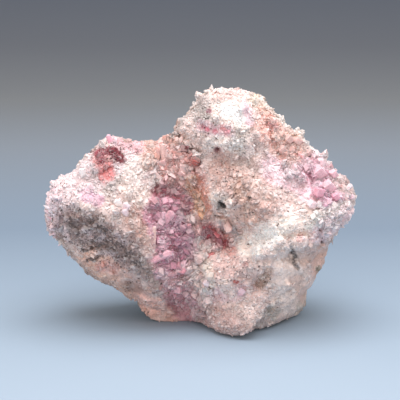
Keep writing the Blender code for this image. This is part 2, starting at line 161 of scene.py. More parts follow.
# Where they lie on the front, the later ones over the earlier ones
STAINS_AND_PAINTED_SHADING = patches(
    # left lobe
    (PEARL, [(60, 190), (95, 172), (140, 160)], 26),
    (PETAL, [(50, 196), (52, 214), (52, 230)], 11, 0.85),
    (FROST, [(50, 198), (57, 212), (54, 226)], 9, 0.5),
    (ORCHID, [(86, 196), (98, 200)], 8, 0.6),
    (BLOOM, [(118, 141), (142, 148)], 9, 0.8),
    (OLD_ROSE, [(124, 143), (138, 148)], 9, 0.5),
    (TAUPE, [(122, 144), (140, 149)], 10, 0.3),
    (BLOOM, [(110, 138)], 4, 0.8),
    (CREAM, [(140, 165), (128, 182), (142, 200)], 13, 0.8),
    (CLAY, [(134, 214), (136, 238)], 12, 0.8),
    (CLAY, [(146, 222), (148, 246)], 9, 0.6),
    (ASH, [(108, 190), (116, 180)], 7, 0.6),
    # grey underside of the left lobe
    (TAUPE, [(72, 226), (94, 234), (122, 250)], 21, 0.9),
    (UMBER, [(66, 236), (80, 224), (100, 226), (112, 240)], 11, 0.65),
    (UMBER, [(96, 246), (122, 248), (140, 262), (158, 284)], 9, 0.75),
    (CLOUD, [(62, 250), (84, 240)], 8, 0.25),
    (BEIGE, [(110, 236), (124, 242)], 6, 0.4),
    (FROST, [(64, 228), (68, 240)], 3.5, 0.5),
    (FROST, [(84, 229), (90, 233)], 3, 0.5),
    (FROST, [(98, 240), (104, 236)], 3, 0.45),
    (FROST, [(90, 252), (112, 254)], 3, 0.35),
    (FROST, [(116, 234), (126, 244)], 3.5, 0.4),
    (UMBER, [(58, 244), (72, 259), (86, 273)], 5, 0.55),
    (BUFF, [(92, 262), (118, 282), (146, 304)], 15, 0.85),
    (SALMON, [(102, 266), (114, 268)], 7, 0.65),
    (TAUPE, [(128, 276), (154, 296)], 11, 0.5),
    (UMBER, [(76, 264), (96, 281), (120, 297), (134, 308)], 4, 0.5),
    (BROWN, [(126, 284), (138, 290)], 6, 0.55),
    # painted shade: the two fractures are darkened over shallow grooves
    (BARK, UPPER_FRACTURE, 1.7, 0.85),
    (BARK, LOWER_FRACTURE, 1.4, 0.85),
    (BARK, [(118, 257)], 2.4, 0.85),
    (PEACH, [(142, 304), (172, 318)], 13, 0.75),
    (CLAY, [(150, 318), (170, 322)], 5, 0.5),
    # trough
    (SALMON, [(164, 148), (176, 172), (182, 192)], 22, 0.95),
    (BUFF, [(150, 144), (150, 160)], 9, 0.6),
    (BUFF, [(166, 137), (182, 140)], 8, 0.5),
    (RUST, [(186, 156), (200, 176)], 9, 0.6),
    (GARNET, [(184, 149), (187, 152)], 2.5, 0.8),
    (BRICK, [(192, 160), (197, 163)], 3.5, 0.7),
    (WINE, [(165, 196), (184, 202)], 16, 0.95),
    (BERRY, [(166, 198), (182, 204)], 10, 0.45),
    (BERRY, [(163, 193)], 3.0, 0.8),
    (ROSE, [(162, 216), (176, 240), (170, 262)], 21),
    (MAUVE, [(186, 232), (188, 262)], 12, 0.7),
    (OLD_ROSE, [(176, 282), (188, 306), (196, 322)], 17, 0.95),
    (BERRY, [(168, 298), (175, 308)], 6, 0.6),
    (BERRY, [(171, 248), (176, 250)], 3.5, 0.6),
    (APRICOT, [(194, 184), (203, 200), (204, 216)], 10, 0.75),
    (RUST, [(200, 184), (205, 208)], 8, 0.6),
    (OCHRE, [(197, 196), (202, 210)], 5, 0.5),
    # peak
    (CREAM, [(206, 102), (236, 116), (226, 140)], 24, 0.9),
    # painted shade: grey on the left side of the peak
    (CLOUD, [(196, 114), (203, 100)], 9, 0.7),
    (ASH, [(198, 108), (203, 118)], 8, 0.45),
    (SNOW, [(228, 110), (240, 118)], 9),
    (BLUSH, [(214, 96), (238, 93)], 6, 0.8),
    (PETAL, [(246, 104), (250, 122)], 6, 0.9),
    (SAND, [(256, 98), (272, 112), (282, 122)], 10, 0.95),
    (CLAY, [(262, 106), (270, 118)], 6, 0.35),
    (TAN, [(270, 110), (276, 116)], 4, 0.3),
    (SHELL, [(202, 126), (214, 130), (228, 131)], 7, 0.5),
    (CHERRY, [(203, 127), (208, 129)], 2.6, 0.8),
    (CHERRY, [(215, 131)], 3.2, 0.7),
    (CORAL, [(222, 128)], 3, 0.7),
    (CHERRY, [(227, 132)], 3.2, 0.65),
    # painted shade: grey on the lower side of the peak's knob
    (STONE, KNOB_SHADE, 8, 0.3),
    (BLUSH, [(216, 156), (236, 162)], 10, 0.5),
    (SNOW, [(214, 140), (232, 146), (248, 152)], 7, 0.25),
    (PLUM, [(209, 111)], 3.5, 0.9),
    (GARNET, [(217, 150)], 4, 0.95),
    (ASH, PEAK_FLANK, 6, 0.8),
    # right shoulder and right lobe
    (PEACH, [(268, 124), (284, 142), (296, 160)], 17, 0.95),
    (OCHRE, [(289, 137), (297, 138)], 5, 0.35),
    (SALMON, [(288, 152), (300, 164)], 10, 0.5),
    (IVORY, [(262, 97), (284, 122), (300, 131), (314, 147), (334, 163)], 4.5, 0.8),
    (CORAL, [(272, 126)], 6, 0.6),
    (PETAL, [(272, 170), (296, 180), (312, 190)], 15, 0.95),
    # painted light: paler here to lift the shade that falls on this part
    (FROST, [(276, 170), (296, 178)], 9, 0.5),
    (SHELL, [(314, 168), (328, 188), (336, 208)], 17, 0.95),
    (ORCHID, [(318, 176), (330, 196)], 13, 0.3),
    (ORCHID, [(322, 191), (338, 204)], 6, 0.4),
    (BLUSH, [(334, 178), (342, 190)], 5, 0.7),
    (FROST, [(316, 152), (326, 160)], 5, 0.8),
    (TAUPE, [(346, 186), (352, 204)], 8, 0.45),
    # middle
    (BEIGE, [(226, 172), (246, 190), (258, 212)], 24, 0.8),
    (TAN, [(246, 206), (238, 186)], 8, 0.45),
    (CREAM, [(236, 160), (262, 196)], 9, 0.4),
    (CLAY, [(228, 168), (246, 182), (254, 204)], 8, 0.35),
    (BLUSH, [(250, 224), (240, 240)], 13, 0.8),
    (BUFF, [(244, 208), (256, 222)], 9, 0.5),
    (IVORY, [(216, 198), (226, 204)], 8, 0.6),
    (BUFF, [(228, 214), (242, 218), (256, 232)], 11, 0.65),
    (CLOUD, [(216, 203), (226, 208)], 5.5, 0.5),
    (SOOT, [(220, 203), (224, 206)], 3.4),
    (SOOT, [(219, 207)], 2.4, 0.8),
    (SALMON, [(204, 226), (222, 238), (226, 250)], 14, 0.9),
    (CORAL, [(205, 230), (222, 243)], 9, 0.7),
    (BERRY, [(206, 234), (216, 240)], 9, 0.9),
    (BERRY, [(216, 246), (228, 243)], 5, 0.8),
    # white ridge and lower block
    (MILK, [(250, 246), (284, 226), (326, 224), (344, 214)], 16, 0.95),
    (PETAL, [(318, 234), (346, 214)], 11, 0.7),
    (SNOW, [(256, 244), (272, 236)], 8, 0.5),
    (CORAL, [(301, 239)], 5, 0.5),
    (BLUSH, [(214, 272), (236, 300), (224, 322)], 30, 0.85),
    (BEIGE, [(226, 312), (246, 322)], 12, 0.5),
    (CLOUD, [(234, 298), (254, 320)], 14, 0.5),
    (IVORY, [(206, 264), (210, 288)], 7, 0.7),
    (TAUPE, [(210, 320), (238, 332)], 16, 0.5),
    (PETAL, [(240, 292), (214, 296)], 9, 0.6),
    (IVORY, [(224, 284), (232, 292)], 7, 0.5),
    (TAUPE, [(244, 272), (256, 284)], 8, 0.45),
    (BRICK, [(236, 282)], 3, 0.8),
    (BRICK, [(246, 264)], 3, 0.5),
    (TAN, BROWN_POCKET, 6, 0.6),
    (CREAM, [(290, 262), (292, 300), (304, 316)], 22, 0.85),
    (BUFF, [(296, 280), (306, 300)], 8, 0.5),
    (STONE, [(272, 312)], 9, 0.6),
    (STONE, [(300, 306), (302, 318)], 5, 0.5),
    (CLAY, [(308, 256), (316, 268)], 12, 0.35),
    (BUFF, [(322, 252), (318, 270)], 8, 0.7),
    (OLIVE, [(318, 269)], 3.5, 0.7),
    # painted shade: the crack's black is painted over a shallow groove
    (SOOT, BLACK_CRACK[:2], 2.6, 0.9),
    (SOOT, BLACK_CRACK[1:], 2.0, 0.85),
    # red crystals of the left lobe
    (CORAL, [(102, 158), (106, 172)], 11, 0.95),
    (BERRY, [(97, 153), (106, 151), (116, 154)], 4.5, 0.9),
    (BERRY, [(99, 155), (102, 162)], 4, 0.8),
    (GARNET, [(113, 151), (121, 159)], 5.5, 0.95),
)

# Dark grains of manganese oxide, with how thickly they lie
SPECKS = patches(
    (1.7, [(69, 220), (77, 234)], 4),
    (1.7, [(92, 222), (103, 229)], 5),
    (1.5, [(108, 238), (121, 247)], 4.5),
    (1.5, [(82, 243), (97, 239)], 4),
    (1.4, [(128, 254), (142, 267)], 4),
    (0.5, [(118, 280), (150, 300)], 14),
    (0.6, [(92, 150), (96, 162)], 5),
    (0.2, [(232, 262), (246, 282)], 12),
    (1.0, [(62, 216), (90, 236), (124, 254)], 22),
    (0.45, [(134, 262), (160, 290)], 14),
    (0.7, [(112, 164), (112, 190)], 9),
    (0.7, [(118, 150)], 9),
    (0.5, [(62, 178), (60, 200)], 5),
    # painted shade: here the dark grains lie thickly to darken the lower side of the peak's knob
    (0.65, KNOB_SHADE, 11),
    (0.45, [(204, 112), (216, 148)], 10),
    (0.4, [(182, 112), (172, 134)], 8),
    (0.2, [(280, 172), (284, 206)], 8),
    (0.7, [(246, 206), (232, 178)], 16),
    (0.5, [(346, 188)], 7),
    (0.35, [(214, 290), (246, 272)], 18),
    (0.6, [(264, 280)], 9),
    (0.35, [(290, 300)], 18),
    (0.2, [(258, 240), (300, 230), (342, 226)], 12),
    (0.3, [(184, 160), (186, 190)], 14),
)


class Shown(NamedTuple):
    """A crystal that stands out in the front view, with the pixels of its root and its tip."""

    root: tuple
    tip: tuple
    width: float  # in mm
    colour: str
    lift: float  # degrees that it tips out of the picture, towards the eye
    thickness: float = 0.4  # as a share of the width
    habit: str = "stub"


ROOT_DEPTH = 0.4  # how far in mm such a crystal starts below the surface
SHOWN_ROOT_SHADE = 1.25  # power that darkens its colour towards the root, as painted shade

# Such crystals on each piece, as rows of their fields
SHOWN = {
    "rose_crystals": [
        ((163.5, 163), (162.5, 143.5), 1.5, BLUSH, 12),
        ((153.5, 250), (154.5, 226), 1.3, BLUSH, 12),
        ((200, 249), (217, 252.5), 1.7, SALMON, 20),
        ((203, 257), (215, 254), 1.4, CORAL, 15),
        ((222, 216), (230, 232), 2.2, BLUSH, 20),
        ((151, 262), (172, 251.5), 2.1, BLOOM, 12, 0.6),
        ((196, 237), (202, 226), 2.2, BLOOM, 25),
        ((164, 223), (173, 211), 2.4, BLOOM, 25),
    ],
    "lilac_crystals": [
        ((317, 175), (320, 168.5), 5.0, PETAL, 66, 0.85),
        ((327, 189), (330, 183), 4.6, PETAL, 65, 0.85),
        ((319, 195), (318, 189), 3.8, SHELL, 64, 0.85),
        ((312, 206), (313, 201), 3.6, FROST, 60, 0.85),
        ((334, 199), (337, 194), 3.0, SHELL, 55, 0.8),
        ((332, 176), (335, 171), 3.2, PETAL, 55, 0.8),
        ((346, 190), (352, 184), 1.6, FROST, 5),
        ((348, 198), (355, 196), 1.6, PETAL, 5),
    ],
    "peach_crystals": [
        ((288, 142), (290, 136), 3.4, BLUSH, 55, 0.8),
        ((297, 143), (298, 138), 3.2, BLUSH, 55, 0.8),
        ((282, 152), (284, 147), 3.4, BLUSH, 55, 0.8),
    ],
    "coarse_druse": [
        ((157, 208), (153, 198), 2.6, SNOW, 35),
        ((111, 144), (107.5, 134.5), 1.6, SHELL, 5),
        ((115, 146), (115.5, 138), 1.4, PETAL, 5),
        ((49, 209), (43, 205), 1.0, FROST, 0, 0.4, "tooth"),
        ((50, 213), (43.5, 210.5), 1.0, PETAL, 0, 0.4, "tooth"),
        ((53, 219), (47.5, 217.5), 0.9, BLOOM, 0, 0.4, "tooth"),
        ((53, 226), (48, 227), 1.0, PETAL, 0, 0.4, "tooth"),
        ((56, 233), (51, 235), 1.0, PETAL, 0, 0.4, "tooth"),
        ((62, 243), (57.5, 246), 1.0, PETAL, 0, 0.4, "tooth"),
        ((120, 207), (117, 199), 2.2, SNOW, 40),
        ((124, 212), (128, 203), 2.4, FROST, 40),
        ((128, 217), (124, 209), 2.0, FROST, 40),
        ((84, 178), (82, 168), 2.0, SNOW, 35),
        ((94, 190), (88, 184), 1.8, FROST, 35),
        ((205, 270), (204, 264), 2.4, IVORY, 55, 0.8),
        ((211, 278), (209, 272), 2.6, IVORY, 55, 0.8),
        ((206, 286), (207, 280), 2.6, FROST, 55, 0.8),
        ((240, 294), (242, 288), 2.8, PETAL, 55, 0.8),
    ],
}

# Where the broken rock shows, with how much of it is free of crystals
BARE = patches(
    (0.4, [(66, 222), (100, 244), (150, 280)], 19),
    (0.75, [(100, 272), (150, 305), (176, 320)], 14),
    (0.95, [(290, 268), (296, 312)], 22),
    (0.9, [(320, 250), (316, 300)], 12),
    (0.9, [(172, 134), (186, 108)], 7),
    (0.6, [(244, 104), (250, 122)], 6),
    (1.0, [(222, 205)], 3),
)

# Pits and cracks in the front, with their depth in mm. Those below nought stand proud
HOLLOWS = patches(
    (2.0, [(222, 205)], 3.8),  # black spot
    (1.2, BLACK_CRACK, 2.6),
    (1.3, UPPER_FRACTURE, 1.5),
    (1.1, LOWER_FRACTURE, 1.3),
    (0.9, BROWN_POCKET, 6),
    (1.4, [(212, 240)], 6),  # hollow of the red crystals
    (0.5, [(172, 304)], 6),
    (0.8, [(198, 163)], 3),
    (0.9, [(217, 150)], 3),
    (1.2, [(254, 128), (258, 150), (250, 166)], 3.0),  # step under the peak's facet
    (-0.8, [(246, 104), (250, 120)], 6),  # the facet itself
    (1.5, [(211, 85)], 6),  # dips in the skyline, and a rise
    (1.2, [(130, 136)], 7),
    (1.2, [(299, 129)], 5),
    (-1.2, [(330, 167), (338, 172)], 7),
    (-1.8, [(258, 250), (284, 245), (314, 243)], 8),  # swelling under the white ridge
    (-1.5, [(182, 130), (184, 124)], 6),  # grey rib on the peak's left flank
)


class Nudge(NamedTuple):
    """A move of the outline round a front-view pixel."""

    place: tuple
    reach: float  # in pixels
    right: float  # in mm
    up: float


NUDGES = [
    Nudge((350, 240), 26, -3.6, 1.2),  # underside of the right lobe
    Nudge((176, 116), 14, 0.0, -0.6),  # left flank of the peak
]

# The crusts are no thicker than this in mm, and thinner by a patch's value where they run over the skyline
CRUST_THICKNESS = 1.5
THIN_CRUST = patches(
    (1.4, [(148, 132), (162, 130), (178, 132)], 14),
    (1.4, [(278, 112), (292, 116)], 12),
    (1.2, [(306, 140), (326, 158)], 6),
)

SMALL_MARK = 8  # stains and marks of painted shade with less reach than this are small

# In mm: the depths between which the front's colours and crystals fade out, and how much sooner the colours
# do so on faces that look sideways
FADE = (3.0, 11.0)
SIDE_FADE = 9.0

# Colours that the back and the sides are mottled with
BACK_COLOURS = ["#B4A496", "#D6C9BC", "#A39184", "#CBAFA4"]
VEIN_COLOUR = "#E6DED6"  # pale calcite veins in the broken rock


def line_distance(pixels, line):
    """How far each pixel lies from a line of points, or from a single point."""
    starts = np.array(line[:-1] or line, float)
    ends = np.array(line[1:] or line, float)
    nearest = np.full(len(pixels), np.inf)
    for start, end in zip(starts, ends):
        run = end - start
        along = (pixels - start) @ run / max(run @ run, 1e-9)
        foot = start + np.clip(along, 0.0, 1.0)[:, None] * run
        nearest = np.minimum(nearest, np.linalg.norm(pixels - foot, axis=1))
    return nearest


PATCH_EDGE = (0.55, 1.15)  # between these shares of its reach a patch fades out
WAVER = 0.3  # how far noise moves that edge, as a share of the reach


def patch_share(pixels, patch, waver):
    """1 in the middle of a patch and 0 outside it, with an uneven edge."""
    distance = line_distance(pixels, patch.line) / patch.reach
    return 1.0 - smoothstep(*PATCH_EDGE, distance + WAVER * waver)


def frontness(points):
    """1 on the side of the stone that the front view sees, 0 on its back."""
    return 1.0 - smoothstep(FADE[0] * MM, FADE[1] * MM, points[:, 1])


def strongest(points, patches):
    """The highest value that any of the patches has at each point of the front."""
    pixels = front_view(points)
    waver = noise_at(points, 2.4, 7.0)
    found = np.zeros(len(points))
    for patch in patches:
        found = np.maximum(found, patch.value * patch_share(pixels, patch, waver))
    return found * frontness(points)


def depth_at(points, hollows):
    """How deep the named pits and cracks are at each point, in mm."""
    pixels = front_view(points)
    waver = noise_at(points, 1.6, 4.0)
    return sum(hollow.value * patch_share(pixels, hollow, waver) for hollow in hollows)


def nudged(corners):
    """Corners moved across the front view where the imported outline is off."""
    pixels = front_view(corners)
    for nudge in NUDGES:
        distance = np.linalg.norm(pixels - nudge.place, axis=1) / nudge.reach
        share = (1.0 - smoothstep(0.0, 1.0, distance))[:, None]
        corners = corners + share * np.array([nudge.right, 0.0, nudge.up]) * MM
    return corners


def front_colours(points, normals):
    """The named stains, among them some painted shade and light. Small ones keep to faces that look forward.
    """
    pixels = front_view(points)
    waver = noise_at(points, 3.0)
    fine = noise_at(points, 1.1, 3.0)
    colours = np.tile(linear(DRUSE_PINK), (len(points), 1))
    forward = smoothstep(-0.1, 0.25, normals @ np.array(CAMERA_AWAY))
    for mark in STAINS_AND_PAINTED_SHADING:
        share = mark.strength * patch_share(pixels, mark, waver + 0.6 * fine)
        if mark.reach < SMALL_MARK:
            share *= forward
        colours += share[:, None] * (np.array(linear(mark.value)) - colours)
    # whiter clumps of crystals
    clumps = smoothstep(0.0, 0.55, noise_at(points, 2.2, 40.0))[:, None]
    colours += 0.16 * clumps * (1.0 - colours)
    # uneven shade, and more of it where dark grains lie
    colours *= 1.0 + (0.13 * noise_at(points, 4.0, 50.0) + 0.12 * noise_at(points, 1.4, 60.0))[:, None]
    colours *= 1.0 + (0.35 * strongest(points, SPECKS) * noise_at(points, 2.0, 70.0))[:, None]
    return colours


def back_colours(points):
    """Mottled broken rock with pale veins."""
    colours = np.tile(linear(BACK_COLOURS[0]), (len(points), 1))
    for number, colour in enumerate(BACK_COLOURS[1:]):
        mottling = noise_at(points, 9.0 - 2.0 * number, 20.0 + 9.0 * number)
        share = smoothstep(-0.05, 0.45, mottling)[:, None]
        colours += share * (np.array(linear(colour)) - colours)
    veins = 0.55 * (1.0 - smoothstep(0.02, 0.13, np.abs(noise_at(points, 13.0, 80.0))))[:, None]
    colours += veins * (np.array(linear(VEIN_COLOUR)) - colours)
    colours *= 1.0 + (0.16 * noise_at(points, 1.4, 60.0))[:, None]
    return colours


def colours_with_painted_shading(points, normals):
    """The stone's colour at each point of its surface, with some painted shade and light."""
    front = front_colours(points, normals)
    back = back_colours(points)
    sideways = smoothstep(0.55, 0.95, np.abs(normals[:, 0]))
    earlier = SIDE_FADE * sideways + 3.0 * noise_at(points, 6.0, 90.0)
    share = frontness(points + np.outer(earlier * MM, (0.0, 1.0, 0.0)))[:, None]
    return np.clip(back + share * (front - back), 0.01, 0.97)


def mesh_arrays(obj):
    """A mesh's corners, the triangles' corner numbers, normals and areas as arrays."""
    mesh = obj.data
    mesh.calc_loop_triangles()
    corners = np.empty(len(mesh.vertices) * 3)
    mesh.vertices.foreach_get("co", corners)
    corners = corners.reshape(-1, 3)
    triangles = np.empty(len(mesh.loop_triangles) * 3, int)
    mesh.loop_triangles.foreach_get("vertices", triangles)
    triangles = triangles.reshape(-1, 3)
    a, b, c = (corners[triangles[:, i]] for i in range(3))
    normals = np.cross(b - a, c - a)
    areas = np.linalg.norm(normals, axis=1)
    normals /= np.maximum(areas, 1e-15)[:, None]
    return corners, triangles, normals, areas / 2


def set_corners(obj, corners):
    obj.data.vertices.foreach_set("co", corners.ravel())
    obj.data.update()


def linked(name, data):
    """A new object in the scene."""
    obj = bpy.data.objects.new(name, data)
    bpy.context.scene.collection.objects.link(obj)
    return obj


def vertex_normals(obj):
    normals = np.empty(len(obj.data.vertices) * 3)
    obj.data.vertices.foreach_get("normal", normals)
    return normals.reshape(-1, 3)


LIGHT_WEAR = 5  # rounds of smoothing, enough to take off the steps that remeshing leaves
HEAVY_WEAR = 60


def remeshed(node, name, voxel, proud):
    """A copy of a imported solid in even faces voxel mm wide.

    Forms that stand further out of the worn-down shape than proud, in mm, are cut back to that.
    """
    cage = linked(name + "_cage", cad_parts[node].data.copy())
    remesh = cage.modifiers.new("even faces", "REMESH")
    remesh.mode = "VOXEL"
    remesh.voxel_size = voxel * MM
    wear = cage.modifiers.new("wear", "SMOOTH")
    wear.factor = 0.5
    made = {}
    for state, rounds in (("sharp", LIGHT_WEAR), ("worn", HEAVY_WEAR)):
        wear.iterations = rounds
        bpy.context.view_layer.update()
        mesh = bpy.data.meshes.new_from_object(cage.evaluated_get(bpy.context.evaluated_depsgraph_get()))
        made[state] = bpy.data.objects.new(name, mesh)
    bpy.data.objects.remove(cage)
    sharp, worn = mesh_arrays(made["sharp"])[0], mesh_arrays(made["worn"])[0]
    outward = vertex_normals(made["worn"])
    excess = np.maximum(((sharp - worn) * outward).sum(axis=1) - proud * MM, 0.0)
    bpy.data.objects.remove(made["worn"])
    obj = made["sharp"]
    obj.name = name
    bpy.context.scene.collection.objects.link(obj)
    obj.data.materials.clear()
    obj.data.shade_smooth()
    set_corners(obj, sharp - outward * excess[:, None])
    return obj


def displace(obj, heights):
    """Moves each vertex out along its normal by a height in mm, but leaves the resting face flat."""
    corners = mesh_arrays(obj)[0]
    resting = smoothstep(0.1 * MM, 1.5 * MM, corners[:, 2])
    set_corners(obj, corners + vertex_normals(obj) * (heights * resting * MM)[:, None])


def give_colours(obj, colours, name="tint"):
    """Stores a colour on every vertex, where the material reads it."""
    attribute = obj.data.color_attributes.new(name, "FLOAT_COLOR", "POINT")
    attribute.data.foreach_set("color", np.column_stack([colours, np.ones(len(colours))]).ravel())


def ring(radius, share, drops, turn=0.0):
    """Corners of a crystal round its axis: x, y, share of the height, and drop below that in radii."""
    angles = [turn + math.tau * i / len(drops) for i in range(len(drops))]
    return [(radius * math.cos(a), radius * math.sin(a), share, drop) for a, drop in zip(angles, drops)]


def sides(low, high, count):
    """Four-cornered faces between two rings that start at these corner numbers."""
    return [[low + i, low + (i + 1) % count, high + (i + 1) % count, high + i] for i in range(count)]


def prism_habit(tip=0.55):
    """A six-sided prism under three rhombic faces, the commonest form of calcite needles."""
    corners = ring(0.8, 0.0, [0.0] * 6) + ring(1.0, 1.0, [tip, 2 * tip] * 3) + [(0.0, 0.0, 1.0, 0.0)]
    tips = [[12, 6 + i, 7 + i, 6 + (i + 2) % 6] for i in (0, 2, 4)]
    return corners, sides(0, 6, 6) + tips + [[5, 4, 3, 2, 1, 0]]


def tooth_habit():
    """A dog-tooth: a six-sided pyramid with a zigzag waist."""
    corners = ring(0.6, 0.0, [0.0] * 6) + ring(1.0, 0.42, [0.0, 0.5] * 3) + [(0.0, 0.0, 1.0, 0.0)]
    tips = [[12, 6 + i, 6 + (i + 1) % 6] for i in range(6)]
    return corners, sides(0, 6, 6) + tips + [[5, 4, 3, 2, 1, 0]]


def rhomb_habit():
    """A rhombohedron standing on its corner: six rhombic faces."""
    corners = [(0.0, 0.0, 0.0, 0.0), *ring(1.0, 0.34, [0.0] * 3), *ring(1.0, 0.66, [0.0] * 3, math.pi / 3)]
    corners.append((0.0, 0.0, 1.0, 0.0))
    low = [[0, 1 + (i + 1) % 3, 4 + i, 1 + i] for i in range(3)]
    high = [[7, 4 + i, 1 + (i + 1) % 3, 4 + (i + 1) % 3] for i in range(3)]
    return corners, low + high


HABITS = {"prism": prism_habit(), "stub": prism_habit(0.8), "tooth": tooth_habit(), "rhomb": rhomb_habit()}


class Druse(NamedTuple):
    """Crystals that grow over a surface."""

    count: int
    radius: tuple  # smallest and largest, in mm
    height: tuple
    habits: tuple
    lean: float  # degrees that a crystal may lean from the surface's normal
    blade: float = 0.25  # share of crystals flattened into blades
    size_bias: float = 2.2  # higher makes small crystals commoner
    root_shade_power: float = 1.15  # power that darkens and deepens its colour towards the root: painted shade in the gaps between crystals
    lighten: float = 0.2  # how much paler the crystals are than the stone under them
    sunk: float = 0.35  # share of a crystal below the surface
    specks: float = 0.0  # how much of the local share of dark grains turns into dark crystals


# Sizes as shares of an ordinary crystal's radius
DARK_GRAIN_SIZE = 0.65
BLADE_WIDTH = 1.5
BLADE_THICKNESS = 0.55


def scattered(surface, count, weight, chooser):
    """Random places on a surface's triangles: the points and their normals."""
    corners, triangles, normals, areas = surface
    centres = corners[triangles].mean(axis=1)
    chances = areas * weight(centres, normals)
    picked = chooser.choice(len(triangles), count, p=chances / chances.sum())
    low, high = np.sort(chooser.random((2, count)), axis=0)
    a, b, c = (corners[triangles[picked, i]] for i in range(3))
    points = a * low[:, None] + b * (high - low)[:, None] + c * (1.0 - high)[:, None]
    return points, normals[picked]


def leaned(normals, degrees, chooser):
    """The normals, each tipped in a random direction by up to this angle."""
    wild = chooser.normal(size=normals.shape)
    across = np.cross(normals, wild)
    across /= np.linalg.norm(across, axis=1)[:, None]
    lean = np.radians(degrees) * np.sqrt(chooser.random(len(normals)))[:, None]
    return normals * np.cos(lean) + across * np.sin(lean)


def side_directions(axes, spins):
    """Two directions square to each axis and to each other, turned by a spin."""
    wild = np.where(np.abs(axes[:, 2:]) < 0.9, [[0.0, 0.0, 1.0]], [[1.0, 0.0, 0.0]])
    first = np.cross(axes, wild)
    first /= np.linalg.norm(first, axis=1)[:, None]
    second = np.cross(axes, first)
    turned = first * np.cos(spins)[:, None] + second * np.sin(spins)[:, None]
    return turned, np.cross(axes, turned)


def sight_tree(obj):
    """A mesh as a tree that a line of sight can be tested against."""
    corners, triangles = mesh_arrays(obj)[:2]
    return BVHTree.FromPolygons(corners.tolist(), triangles.tolist())


def seen_point(pixel, trees):
    """The nearest point of the stone that the front view shows at a pixel."""
    share = CAMERA_SENSOR / CAMERA_LENS / PHOTO_PIXELS
    across = (pixel[0] - PHOTO_PIXELS / 2) * share
    up = (PHOTO_PIXELS / 2 - pixel[1]) * share
    direction = Vector((across, 0.0, 0.0)) + CAMERA_UP * up - CAMERA_AWAY
    found = [tree.ray_cast(CAMERA_PLACE, direction) for tree in trees]
    hits = [hit for hit in found if hit[0] is not None]
    return min(hits, key=lambda hit: hit[3])[0] if hits else None


